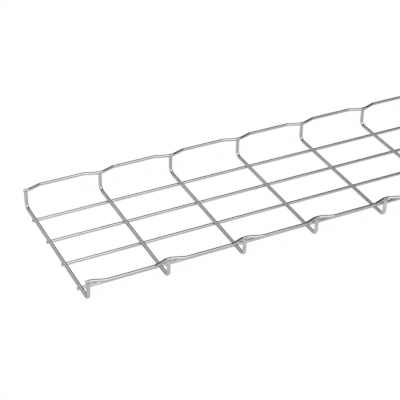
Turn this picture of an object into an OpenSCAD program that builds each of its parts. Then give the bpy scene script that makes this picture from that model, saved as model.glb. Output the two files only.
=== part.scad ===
// Wire mesh cable basket, low-wall tray, one stock length.
// Straight base wires carry a row of U-shaped cross wires, and a waved edge wire is
// welded along the tops of each side. All of it is round bright zinc-plated steel wire.
// X runs along the tray, Y across it and Z up. The origin is on the floor, under the
// middle of the tray. Sizes are in millimetres.

/* [Mesh] */
// Distance between neighbouring cross wires, centre to centre
cross_pitch = 100; // [70:5:150]
// Number of mesh openings along one stock length
bay_count = 30; // [1:1:30]
// Distance between neighbouring base wires, centre to centre
base_pitch = 50; // [30:5:60]
// Number of base wires across the bottom
base_wire_count = 4; // [2:1:4]
// How far the lengthwise wires run past the middle of the first and last cross wire
end_stub = 2.5; // [2.5:0.5:40]

/* [Section] */
// Clear width between the upright ends of the cross wires
inner_width = 200; // [195:5:400]
// Overall height, from the floor to the top of the edge wires
overall_height = 32.4; // [28:0.2:110]
// Inner radius of the two corners of each cross wire
corner_inner_r = 5.5; // [3:0.5:12]

/* [Wire] */
// Diameter of the base wires
base_wire_d = 3.9; // [3:0.1:6]
// Diameter of the edge wires
edge_wire_d = 3.9; // [3:0.1:6]
// Diameter of the cross wires
cross_wire_d = 4.4; // [3:0.1:6]
// How far a cross wire is pressed into the base wires at their welds
base_weld_depth = 0.5; // [0.2:0.1:1]
// How far the ends of a cross wire are pressed into the edge wires at their welds
edge_weld_depth = 0.8; // [0.2:0.1:1]

/* [Edge wave] */
// How far the edge wires stand out from the sides, midway between cross wires
wave_depth = 5.7; // [3:0.1:9]
// Angle between the sloping parts of the wave and the length of the tray
wave_slope = 19.08; // [12:0.01:40]
// Inner radius of the bends of the wave
wave_inner_r = 6; // [4:0.5:10]
// Straight part of the edge wire that shows on each side of a cross wire
wave_seat_margin = 0.1; // [0.1:0.1:5]

/* [Hidden] */
$fn = 48;
tray_length = bay_count * cross_pitch;
long_wire_length = tray_length + 2 * end_stub;

// The section, from the floor up
base_wire_z = base_wire_d / 2;
cross_wire_z = base_wire_d - base_weld_depth + cross_wire_d / 2;
edge_wire_z = overall_height - edge_wire_d / 2;
side_y = (inner_width + cross_wire_d) / 2;
corner_r = corner_inner_r + cross_wire_d / 2;
upright_top_z = edge_wire_z - edge_wire_d / 2 + edge_weld_depth;

// The wave, from a cross wire to the middle of the mesh opening
wave_bend_r = wave_inner_r + edge_wire_d / 2;
wave_seat = cross_wire_d / 2 + wave_seat_margin;
wave_ramp = (wave_depth - 2 * wave_bend_r * (1 - cos(wave_slope))) / sin(wave_slope);

function two_digits(n) = str(n < 10 ? "0" : "", n);
function base_name(n) = str("base_wire_", n);
function cross_name(n) = str("cross_wire_", two_digits(n));
function base_y(n) = (n - (base_wire_count + 1) / 2) * base_pitch;
function cross_x(n) = (n - 1) * cross_pitch - tray_length / 2;

// Straight wire that starts at the origin and runs along +X
module wire_x(d, length) {
    rotate([0, 90, 0]) cylinder(d = d, h = length);
}

// Lengthwise straight wire at one place in the section, over the whole length
module long_wire(d, y, z) {
    translate([-long_wire_length / 2, y, z]) wire_x(d, long_wire_length);
}

// Base wire, under the cross wires
module base_wire(n) {
    color("gainsboro") long_wire(base_wire_d, base_y(n), base_wire_z);
}

// Half of a cross wire, before its welds: floor run, rounded corner and upright end
module cross_wire_half() {
    run = side_y - corner_r;
    rise = upright_top_z - cross_wire_z - corner_r;
    translate([0, 0, cross_wire_z]) {
        rotate([-90, 0, 0]) cylinder(d = cross_wire_d, h = run);
        translate([0, run, corner_r]) {
            rotate([0, 90, 0])
                rotate_extrude(angle = 90)
                    translate([corner_r, 0]) rotate(90) circle(d = cross_wire_d);
            translate([0, corner_r, 0]) cylinder(d = cross_wire_d, h = rise);
        }
    }
}

// Cross wire: one U with a seat in its underside for each base wire and one in each
// end for the edge wire
module cross_wire(n) {
    color("silver")
        translate([cross_x(n), 0, 0])
            difference() {
                union() {
                    cross_wire_half();
                    mirror([0, 1, 0]) cross_wire_half();
                }
                for (b = [1 : base_wire_count])
                    translate([-cross_wire_d, base_y(b), base_wire_z])
                        wire_x(base_wire_d, 2 * cross_wire_d);
                for (side = [-1, 1])
                    translate([-cross_wire_d, side * side_y, edge_wire_z])
                        wire_x(edge_wire_d, 2 * cross_wire_d);
            }
}

// Bend of the edge wire that starts at the origin along +X and turns towards +Y by the
// slope of the wave. What follows it starts at the end of the bend, along the new line.
module wave_bend() {
    translate([0, wave_bend_r, 0]) {
        rotate([0, 0, -90])
            rotate_extrude(angle = wave_slope)
                translate([wave_bend_r, 0]) rotate(-90) circle(d = edge_wire_d);
        rotate([0, 0, wave_slope]) translate([0, -wave_bend_r, 0]) children();
    }
}

// Edge wire from a cross wire to the middle of the mesh opening: seat, bend out, ramp,
// bend back and half of the outer run
module half_wave() {
    half = cross_pitch / 2;
    difference() {
        union() {
            wire_x(edge_wire_d, wave_seat);
            translate([wave_seat, 0, 0])
                wave_bend() {
                    wire_x(edge_wire_d, wave_ramp);
                    translate([wave_ramp, 0, 0])
                        mirror([0, 1, 0]) wave_bend() wire_x(edge_wire_d, half);
                }
        }
        translate([half, -half, -half]) cube(cross_pitch);
    }
}

// Edge wire on the +Y side, waved outwards between the cross wires
module edge_wire_at_side() {
    translate([0, side_y, edge_wire_z]) {
        for (n = [1 : bay_count]) {
            translate([cross_x(n), 0, 0]) half_wave();
            translate([cross_x(n + 1), 0, 0]) mirror([1, 0, 0]) half_wave();
        }
        translate([-long_wire_length / 2, 0, 0]) wire_x(edge_wire_d, end_stub);
        translate([tray_length / 2, 0, 0]) wire_x(edge_wire_d, end_stub);
    }
}

module edge_wire_left() {
    color("gainsboro") edge_wire_at_side();
}

module edge_wire_right() {
    color("gainsboro") mirror([0, 1, 0]) edge_wire_at_side();
}

for (n = [1 : base_wire_count])
    base_wire(n);
edge_wire_left();
edge_wire_right();
for (n = [1 : bay_count + 1])
    cross_wire(n);
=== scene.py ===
"""Looks of the wire mesh cable basket: smooth drawn wires with their bends, welds and cut ends,
bright zinc plating, a white floor and soft studio light."""
import math
import random

import bpy
from mathutils import Matrix, Vector

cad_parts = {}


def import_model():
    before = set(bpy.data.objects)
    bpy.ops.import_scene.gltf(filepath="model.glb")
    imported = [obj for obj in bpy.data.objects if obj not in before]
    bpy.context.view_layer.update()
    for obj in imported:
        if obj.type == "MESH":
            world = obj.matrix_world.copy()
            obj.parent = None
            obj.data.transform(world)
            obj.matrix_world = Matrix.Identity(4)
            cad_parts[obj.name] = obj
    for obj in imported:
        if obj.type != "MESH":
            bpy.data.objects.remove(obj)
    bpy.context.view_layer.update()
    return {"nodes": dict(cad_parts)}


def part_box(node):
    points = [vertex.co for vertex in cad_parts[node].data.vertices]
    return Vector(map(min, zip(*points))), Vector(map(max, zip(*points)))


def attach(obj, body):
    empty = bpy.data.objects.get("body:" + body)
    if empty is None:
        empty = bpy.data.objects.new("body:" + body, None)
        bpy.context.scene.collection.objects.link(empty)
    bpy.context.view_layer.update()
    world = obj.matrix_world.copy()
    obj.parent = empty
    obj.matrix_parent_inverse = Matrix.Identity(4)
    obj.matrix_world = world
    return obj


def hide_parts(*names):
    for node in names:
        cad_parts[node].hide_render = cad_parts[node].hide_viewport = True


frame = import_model()

# ---- Sizes, in metres ----
MM = 0.001
SIDES = 32                   # points round a wire
STRAIGHT_PIECES = 40         # stretches in a base wire
WAVE_STEPS = 5               # steps in a bend of an edge wire
CORNER_STEPS = 12            # steps in a corner of a cross wire
WAVE_SLOPE = math.radians(19.08)     # edge wire's ramps against the length of the tray
WAVE_BEND_R = 7.95 * MM      # edge wire's bends, to the centre line
WAVE_SEAT_MARGIN = 0.1 * MM  # straight edge wire beside each cross wire
CORNER_R = 7.7 * MM          # cross wire's corners, to the centre line
END_ROUND = 0.35 * MM        # rounded rim of a cut wire end
BASE_WELD_X = 1.5 * MM       # half the size of a crossing's weld along the tray
BASE_WELD_Y = 1.42 * MM      # and across it
BEAD_R = 0.40 * MM           # weld flash, half its thickness
BEAD_STEPS = 24              # rings round a bead
BEAD_SIDES = 10              # points round its thickness
BEAD_UNEVEN = ((2, 0.16), (5, 0.12))     # swellings in a turn, and their size against its radius
BOTTOM_RING_PITCH = 25 * MM  # between rings along a cross wire's bottom
UPRIGHT_RING = 6 * MM        # a ring this far above a cross wire's corner
FLOOR_HALF = 30.0            # half the floor's width

# ---- Camera ----
CAMERA_AT = Vector((-1.8724, -1.0820, 0.8411))
CAMERA_AZIMUTH = 62.455      # degrees from +X towards +Y
CAMERA_DOWN = 33.793         # degrees below the horizon
CAMERA_ROLL = 1.537          # degrees
CAMERA_LENS = 105.98         # mm on a 36 mm sensor

# ---- Studio: each edge is where a light begins and where it is full, on one axis of the
# direction that it comes from (X along the tray, Y to the far side, Z up). A strength of 1 is
# white ----
BOX_LEVEL = 2.10             # broad light, high on the near side
BOX_EDGES = (("Y", 0.12, -0.30), ("Z", 0.05, 0.70), ("X", 0.53, 0.37))
FAR_LEVEL = 1.32             # weaker light on the far side
FAR_EDGES = (("Y", 0.55, 0.72), ("Z", 0.10, 0.50), ("X", 0.38, 0.16), ("X", -0.75, -0.20))
SIDE_LEVEL = 1.08            # small light past the far end of the tray
SIDE_EDGES = (("X", 0.54, 0.64), ("X", 0.81, 0.72), ("Y", -0.12, -0.38), ("Z", 0.05, 0.50))
DARK_LEVEL = 0.03            # everywhere
BACKDROP_LEVEL = 1.0         # white all round, as high as a level view sees
BACKDROP_EDGES = (("Z", 0.19, 0.17),)
FLOOR_COLOR = (0.82, 0.82, 0.82, 1)
FLOOR_GLOW = 1.03            # the white that camera, glossy and transmission rays see
FLOOR_GLOW_SHARE = 0.92      # the rest is the lit floor, with the object's shadow

rng = random.Random(7)


# ---- Places, read from the frame ----
def numbered(prefix):
    return sorted(n for n in frame["nodes"] if n.startswith(prefix))


BASE_WIRES = numbered("base_wire_")
CROSS_WIRES = numbered("cross_wire_")
EDGE_WIRES = {"edge_wire_left": 1, "edge_wire_right": -1}     # the sign of each one's Y

cross_lo, cross_hi = (Vector(c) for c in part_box(CROSS_WIRES[0]))
base_lo, base_hi = (Vector(c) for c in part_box(BASE_WIRES[0]))
edge_lo, edge_hi = (Vector(c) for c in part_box("edge_wire_left"))
CROSS_R = (cross_hi.x - cross_lo.x) / 2
BASE_R = (base_hi.z - base_lo.z) / 2
EDGE_R = (edge_hi.z - edge_lo.z) / 2
SIDE_Y = cross_hi.y - CROSS_R
CROSS_Z = cross_lo.z + CROSS_R
BASE_Z = (base_lo.z + base_hi.z) / 2
EDGE_Z = (edge_lo.z + edge_hi.z) / 2
UPRIGHT_TOP = cross_hi.z
WAVE_DEPTH = edge_hi.y - EDGE_R - SIDE_Y
WIRE_START, WIRE_END = base_lo.x, base_hi.x


def middle(node, axis):
    lo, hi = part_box(node)
    return (lo[axis] + hi[axis]) / 2


CROSS_X = [middle(n, 0) for n in CROSS_WIRES]
BASE_Y = [middle(n, 1) for n in BASE_WIRES]


# ---- Materials ----
def node_tree(name):
    material = bpy.data.materials.new(name)
    material.use_nodes = True
    tree = material.node_tree
    tree.nodes.clear()
    output = tree.nodes.new("ShaderNodeOutputMaterial")
    shader = tree.nodes.new("ShaderNodeBsdfPrincipled")
    tree.links.new(shader.outputs["BSDF"], output.inputs["Surface"])
    return material, tree, shader


def noise(tree, vector, scale, detail=3.0, roughness=0.5):
    node = tree.nodes.new("ShaderNodeTexNoise")
    node.inputs["Scale"].default_value = scale
    node.inputs["Detail"].default_value = detail
    node.inputs["Roughness"].default_value = roughness
    tree.links.new(vector, node.inputs["Vector"])
    return node.outputs["Fac"]


def stretched(tree, vector, scale):
    node = tree.nodes.new("ShaderNodeMapping")
    node.inputs["Scale"].default_value = scale
    tree.links.new(vector, node.inputs["Vector"])
    return node.outputs["Vector"]


def ramp(tree, value, stops):
    node = tree.nodes.new("ShaderNodeValToRGB")
    elements = node.color_ramp.elements
    elements[0].position, elements[0].color = stops[0][0], (*stops[0][1], 1)
    elements[1].position, elements[1].color = stops[-1][0], (*stops[-1][1], 1)
    for position, color in stops[1:-1]:
        elements.new(position).color = (*color, 1)
    tree.links.new(value, node.inputs["Fac"])
    return node.outputs["Color"]


def span(tree, value, low, high):
    node = tree.nodes.new("ShaderNodeMapRange")
    node.inputs["To Min"].default_value = low
    node.inputs["To Max"].default_value = high
    tree.links.new(value, node.inputs["Value"])
    return node.outputs["Result"]


def math_node(tree, operation, *values):
    """A Math node. Each value is a float or the socket that it comes from."""
    node = tree.nodes.new("ShaderNodeMath")
    node.operation = operation
    for value, socket in zip(values, node.inputs):
        if isinstance(value, float):
            socket.default_value = value
        else:
            tree.links.new(value, socket)
    return node.outputs[0]


def bump(tree, height, distance, strength, normal=None):
    node = tree.nodes.new("ShaderNodeBump")
    node.inputs["Distance"].default_value = distance
    node.inputs["Strength"].default_value = strength
    tree.links.new(height, node.inputs["Height"])
    if normal:
        tree.links.new(normal, node.inputs["Normal"])
    return node.outputs["Normal"]


def zinc_material():
    """Bright zinc on drawn wire: faint cloudy tint, long draw lines and a very fine grain."""
    material, tree, shader = node_tree("bright_zinc")
    coords = tree.nodes.new("ShaderNodeTexCoord")
    cloud = noise(tree, coords.outputs["Object"], 45, 4)
    color = ramp(tree, cloud, [(0.30, (0.46, 0.468, 0.49)), (0.52, (0.51, 0.51, 0.515)),
                               (0.72, (0.545, 0.53, 0.515))])
    tree.links.new(color, shader.inputs["Base Color"])
    shader.inputs["Metallic"].default_value = 1.0
    # The grey Specular Tint darkens the zinc's reflection towards each wire's outline: painted
    # shade along the wire's edges.
    shader.inputs["Specular Tint"].default_value = (0.40, 0.40, 0.42, 1)
    lines = noise(tree, stretched(tree, coords.outputs["UV"], (220, 14, 1)), 1, 4, 0.6)
    tree.links.new(span(tree, lines, 0.17, 0.33), shader.inputs["Roughness"])
    grain = noise(tree, coords.outputs["Object"], 2600, 2)
    drawn = bump(tree, lines, 0.00001, 0.3)
    tree.links.new(bump(tree, grain, 0.000002, 0.2, drawn), shader.inputs["Normal"])
    return material


def weld_material():
    """Weld flash under the plating: mottled and rougher than the wire."""
    material, tree, shader = node_tree("weld_zinc")
    coords = tree.nodes.new("ShaderNodeTexCoord")
    mottled = noise(tree, coords.outputs["Object"], 900, 4, 0.6)
    color = ramp(tree, mottled, [(0.3, (0.34, 0.345, 0.36)), (0.7, (0.56, 0.56, 0.57))])
    tree.links.new(color, shader.inputs["Base Color"])
    shader.inputs["Metallic"].default_value = 1.0
    tree.links.new(span(tree, mottled, 0.38, 0.6), shader.inputs["Roughness"])
    tree.links.new(bump(tree, mottled, 0.0001, 0.6), shader.inputs["Normal"])
    return material


def sheared_end_painted_shade_material():
    """Sheared wire end with fine parallel shear marks. Its dark grey is partly the dullness of bare
    sheared steel and partly painted shade for the dark reflection of the end faces.
    """
    material, tree, shader = node_tree("cut_end_painted_shade")
    coords = tree.nodes.new("ShaderNodeTexCoord")
    marks = noise(tree, stretched(tree, coords.outputs["Object"], (400, 400, 2600)), 1, 3)
    # The very dark grey here is painted shade on the cut end faces, darker than bare steel.
    color = ramp(tree, marks, [(0.3, (0.11, 0.11, 0.115)), (0.7, (0.24, 0.24, 0.245))])
    tree.links.new(color, shader.inputs["Base Color"])
    shader.inputs["Metallic"].default_value = 1.0
    tree.links.new(span(tree, marks, 0.45, 0.65), shader.inputs["Roughness"])
    tree.links.new(bump(tree, marks, 0.00005, 0.5), shader.inputs["Normal"])
    return material


MATERIALS = [zinc_material(), weld_material(), sheared_end_painted_shade_material()]
ZINC, WELD, CUT = range(3)


# ---- Mesh building ----
class Wire:
    """Gathers the points, faces, materials and UVs of one visible piece."""

    def __init__(self):
        self.points, self.faces, self.slots, self.uvs = [], [], [], []

    def ring(self, centre, across, up, radius, sides=SIDES):
        """One ring round the wire. across and up are the two directions of its plane."""
        start = len(self.points)
        for i in range(sides):
            a = 2 * math.pi * i / sides
            self.points.append(centre + radius * (math.cos(a) * across + math.sin(a) * up))
        return start

    def band(self, first, second, slot, v0, v1, sides=SIDES):
        """Faces between two rings, with v0 and v1 as their places along the wire."""
        for i in range(sides):
            j = (i + 1) % sides
            self.faces.append((first + i, first + j, second + j, second + i))
            self.slots.append(slot)
            u0, u1 = i / sides, (i + 1) / sides
            self.uvs.append(((u0, v0), (u1, v0), (u1, v1), (u0, v1)))

    def cap(self, ring, flip):
        """The flat cut face in a ring."""
        loop = list(range(ring, ring + SIDES))
        self.faces.append(tuple(reversed(loop)) if flip else tuple(loop))
        self.slots.append(CUT)
        turn = [(0.5 + 0.5 * math.cos(2 * math.pi * i / SIDES),
                 0.5 + 0.5 * math.sin(2 * math.pi * i / SIDES)) for i in range(SIDES)]
        self.uvs.append(tuple(reversed(turn)) if flip else tuple(turn))

    def bead(self, loop, out):
        """A closed, uneven bead of weld flash. out gives the outward direction at each point."""
        waves = [(count, size, rng.uniform(0, math.tau)) for count, size in BEAD_UNEVEN]
        rings = []
        for i, centre in enumerate(loop):
            turn = 2 * math.pi * i / len(loop)
            along = (loop[(i + 1) % len(loop)] - loop[i - 1]).normalized()
            up = along.cross(out[i]).normalized()
            uneven = 1 + sum(size * math.sin(count * turn + phase) for count, size, phase in waves)
            rings.append(self.ring(centre, out[i], up, BEAD_R * uneven, BEAD_SIDES))
        for i, first in enumerate(rings):
            second = rings[(i + 1) % len(rings)]
            self.band(first, second, WELD, i / len(rings), (i + 1) / len(rings), BEAD_SIDES)

    def sweep(self, path, radius, up):
        """A round wire along path, a list of (centre, direction, radius factor). up is square to
        the plane of the path."""
        length, last, rings = 0.0, None, []
        for centre, along, factor in path:
            if last is not None:
                length += (centre - last).length
            last = centre
            across = up.cross(along).normalized()
            rings.append((self.ring(centre, across, up, radius * factor), length))
        for (first, v0), (second, v1) in zip(rings, rings[1:]):
            self.band(first, second, ZINC, v0, v1)
        self.cap(rings[0][0], True)
        self.cap(rings[-1][0], False)

    def finish(self, node):
        """The piece that is seen in the place of one CAD node."""
        name = node + "_look"
        mesh = bpy.data.meshes.new(name)
        mesh.from_pydata([tuple(p) for p in self.points], [], self.faces)
        for material in MATERIALS:
            mesh.materials.append(material)
        mesh.polygons.foreach_set("material_index", self.slots)
        layer = mesh.uv_layers.new(name="wire")
        flat = [c for face in self.uvs for corner in face for c in corner]
        layer.data.foreach_set("uv", flat)
        mesh.polygons.foreach_set("use_smooth", [slot != CUT for slot in self.slots])
        mesh.validate()
        mesh.update()
        piece = bpy.data.objects.new(name, mesh)
        bpy.context.scene.collection.objects.link(piece)
        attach(piece, "root")
        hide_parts(node)


def with_round_rims(path, radius):
    """The same path, with the rims of its two cut ends rounded."""
    rim = []
    for degrees in (0, 30, 60, 90):
        a = math.radians(degrees)
        rim.append((END_ROUND * (1 - math.cos(a)), 1 - END_ROUND * (1 - math.sin(a)) / radius))
    start, start_way, _ = path[0]
    end, end_way, _ = path[-1]
    out = [(start + inset * start_way, start_way, factor) for inset, factor in rim]
    out += path[1:-1]
    return out + [(end - inset * end_way, end_way, factor) for inset, factor in reversed(rim)]


def base_wire(node, y):
    wire = Wire()
    start, end = Vector((WIRE_START, y, BASE_Z)), Vector((WIRE_END, y, BASE_Z))
    places = [start.lerp(end, i / STRAIGHT_PIECES) for i in range(STRAIGHT_PIECES + 1)]
    path = [(place, Vector((1, 0, 0)), 1.0) for place in places]
    wire.sweep(with_round_rims(path, BASE_R), BASE_R, Vector((0, 0, 1)))
    wire.finish(node)


def arc(centre, radius, start, turn, steps):
    """Points on an arc in a plane, as (x, y, heading), where start is the heading at its start."""
    side = 1 if turn > 0 else -1
    out = []
    for i in range(steps + 1):
        heading = start + turn * i / steps
        out.append((centre[0] + side * radius * math.sin(heading),
                    centre[1] - side * radius * math.cos(heading), heading))
    return out


def half_wave(pitch):
    """The edge wire's plan from a cross wire to the middle of the mesh, as (x, y, heading)."""
    seat = CROSS_R + WAVE_SEAT_MARGIN
    rise = WAVE_BEND_R * (1 - math.cos(WAVE_SLOPE))
    run = (WAVE_DEPTH - 2 * rise) / math.tan(WAVE_SLOPE)
    top = seat + 2 * WAVE_BEND_R * math.sin(WAVE_SLOPE) + run
    out = [(0.0, 0.0, 0.0)]
    out += arc((seat, WAVE_BEND_R), WAVE_BEND_R, 0, WAVE_SLOPE, WAVE_STEPS)
    out += arc((top, WAVE_DEPTH - WAVE_BEND_R), WAVE_BEND_R, WAVE_SLOPE, -WAVE_SLOPE, WAVE_STEPS)
    out.append((pitch / 2, WAVE_DEPTH, 0.0))
    return out


def edge_wire(node, side):
    plan = [(WIRE_START, 0.0, 0.0)]
    for x0, x1 in zip(CROSS_X, CROSS_X[1:]):
        half = half_wave(x1 - x0)
        plan += [(x0 + x, y, h) for x, y, h in half]
        plan += [(x1 - x, y, -h) for x, y, h in reversed(half[1:-1])]
    plan += [(CROSS_X[-1], 0.0, 0.0), (WIRE_END, 0.0, 0.0)]
    path = [(Vector((x, side * (SIDE_Y + y), EDGE_Z)),
             Vector((math.cos(h), side * math.sin(h), 0)), 1.0) for x, y, h in plan]
    wire = Wire()
    wire.sweep(with_round_rims(path, EDGE_R), EDGE_R, Vector((0, 0, 1)))
    wire.finish(node)


def cross_path(x):
    """The U of a cross wire, from one upright's top down, across and up the other."""
    bend_z = CROSS_Z + CORNER_R
    upright = math.pi / 2
    side = arc((SIDE_Y - CORNER_R, bend_z), CORNER_R, 0, upright, CORNER_STEPS)
    side += [(SIDE_Y, bend_z + UPRIGHT_RING, upright), (SIDE_Y, UPRIGHT_TOP, upright)]
    bottom = [(BOTTOM_RING_PITCH * i, CROSS_Z, 0.0) for i in range(-3, 4)]
    out = [(-y, z, -heading) for y, z, heading in reversed(side)]
    out += bottom + side
    return [(Vector((x, y, z)), Vector((0, math.cos(heading), math.sin(heading))), 1.0)
            for y, z, heading in out]


def base_weld(wire, x, y):
    """Flash in the narrow gap round a crossing, where the two wires are pressed together."""
    loop, out = [], []
    for i in range(BEAD_STEPS):
        a = 2 * math.pi * i / BEAD_STEPS
        dx, dy = BASE_WELD_X * math.cos(a), BASE_WELD_Y * math.sin(a)
        under = CROSS_Z - math.sqrt(CROSS_R ** 2 - dx ** 2)
        over = BASE_Z + math.sqrt(BASE_R ** 2 - dy ** 2)
        loop.append(Vector((x + dx, y + dy, (under + over) / 2)))
        out.append(Vector((math.cos(a), math.sin(a), 0)))
    wire.bead(loop, out)


def edge_weld(wire, x, side):
    """Upset metal round the butt of an upright against the underside of the edge wire."""
    loop, out = [], []
    for i in range(BEAD_STEPS):
        a = 2 * math.pi * i / BEAD_STEPS
        dx, dy = CROSS_R * math.cos(a), CROSS_R * math.sin(a)
        seat = EDGE_Z - math.sqrt(max(EDGE_R ** 2 - dy ** 2, 0))
        loop.append(Vector((x + dx, side * SIDE_Y + dy, min(seat, UPRIGHT_TOP))))
        out.append(Vector((math.cos(a), math.sin(a), 0)))
    wire.bead(loop, out)


def cross_wire(node, x):
    wire = Wire()
    wire.sweep(with_round_rims(cross_path(x), CROSS_R), CROSS_R, Vector((1, 0, 0)))
    for y in BASE_Y:
        base_weld(wire, x, y)
    for side in EDGE_WIRES.values():
        edge_weld(wire, x, side)
    wire.finish(node)


for node, y in zip(BASE_WIRES, BASE_Y):
    base_wire(node, y)
for node, side in EDGE_WIRES.items():
    edge_wire(node, side)
for node, x in zip(CROSS_WIRES, CROSS_X):
    cross_wire(node, x)


# ---- Floor, world, light and camera ----
def floor():
    mesh = bpy.data.meshes.new("floor")
    corners = [(x * FLOOR_HALF, y * FLOOR_HALF, 0) for x, y in ((-1, -1), (1, -1), (1, 1), (-1, 1))]
    mesh.from_pydata(corners, [], [(0, 1, 2, 3)])
    plane = bpy.data.objects.new("floor", mesh)
    bpy.context.scene.collection.objects.link(plane)
    material = bpy.data.materials.new("white_floor")
    material.use_nodes = True
    tree = material.node_tree
    tree.nodes.clear()
    output = tree.nodes.new("ShaderNodeOutputMaterial")
    mix = tree.nodes.new("ShaderNodeMixShader")
    diffuse = tree.nodes.new("ShaderNodeBsdfDiffuse")
    diffuse.inputs["Color"].default_value = FLOOR_COLOR
    glow = tree.nodes.new("ShaderNodeEmission")
    glow.inputs["Strength"].default_value = FLOOR_GLOW
    path = tree.nodes.new("ShaderNodeLightPath").outputs
    seen = math_node(tree, "MAXIMUM", path["Is Camera Ray"], path["Is Glossy Ray"])
    seen = math_node(tree, "MAXIMUM", seen, path["Is Transmission Ray"])
    share = math_node(tree, "MULTIPLY", seen, FLOOR_GLOW_SHARE)
    tree.links.new(share, mix.inputs["Fac"])
    tree.links.new(diffuse.outputs[0], mix.inputs[1])
    tree.links.new(glow.outputs[0], mix.inputs[2])
    tree.links.new(mix.outputs[0], output.inputs["Surface"])
    mesh.materials.append(material)


def studio_light(tree, direction):
    """The studio, the same for every ray: a broad soft light high on the near side, a weaker one
    on the far side, a small one past the far end, dark between them, and a low white backdrop all
    round."""
    axes = tree.nodes.new("ShaderNodeSeparateXYZ")
    tree.links.new(direction, axes.inputs[0])

    def lamp(level, edges):
        """level, faded out at each edge."""
        light = level
        for axis, start, end in edges:
            edge = tree.nodes.new("ShaderNodeMapRange")
            edge.interpolation_type = "SMOOTHSTEP"
            edge.inputs["From Min"].default_value = start
            edge.inputs["From Max"].default_value = end
            tree.links.new(axes.outputs[axis], edge.inputs["Value"])
            light = math_node(tree, "MULTIPLY", light, edge.outputs["Result"])
        return light

    lit = math_node(tree, "ADD", lamp(BOX_LEVEL, BOX_EDGES), lamp(FAR_LEVEL, FAR_EDGES))
    lit = math_node(tree, "ADD", lit, lamp(SIDE_LEVEL, SIDE_EDGES))
    lit = math_node(tree, "ADD", lit, DARK_LEVEL)
    return math_node(tree, "MAXIMUM", lit, lamp(BACKDROP_LEVEL, BACKDROP_EDGES))


def world():
    scene_world = bpy.data.worlds.new("studio")
    bpy.context.scene.world = scene_world
    scene_world.use_nodes = True
    tree = scene_world.node_tree
    tree.nodes.clear()
    output = tree.nodes.new("ShaderNodeOutputWorld")
    studio = tree.nodes.new("ShaderNodeBackground")
    studio.inputs["Color"].default_value = (1, 1, 1, 1)
    coords = tree.nodes.new("ShaderNodeTexCoord")
    tree.links.new(studio_light(tree, coords.outputs["Generated"]), studio.inputs["Strength"])
    tree.links.new(studio.outputs[0], output.inputs["Surface"])


def camera():
    data = bpy.data.cameras.new("camera")
    data.lens = CAMERA_LENS
    data.sensor_width = 36
    data.clip_start, data.clip_end = 0.05, 100
    eye = bpy.data.objects.new("camera", data)
    bpy.context.scene.collection.objects.link(eye)
    a, d, roll = (math.radians(v) for v in (CAMERA_AZIMUTH, CAMERA_DOWN, CAMERA_ROLL))
    ahead = Vector((math.cos(d) * math.cos(a), math.cos(d) * math.sin(a), -math.sin(d)))
    right = ahead.cross(Vector((0, 0, 1))).normalized()
    up = right.cross(ahead)
    tilted_right = math.cos(roll) * right + math.sin(roll) * up
    tilted_up = -math.sin(roll) * right + math.cos(roll) * up
    turn = Matrix((tilted_right, tilted_up, -ahead)).transposed()
    eye.matrix_world = Matrix.Translation(CAMERA_AT) @ turn.to_4x4()
    bpy.context.scene.camera = eye


floor()
world()
camera()
bpy.context.scene.view_settings.view_transform = "Standard"
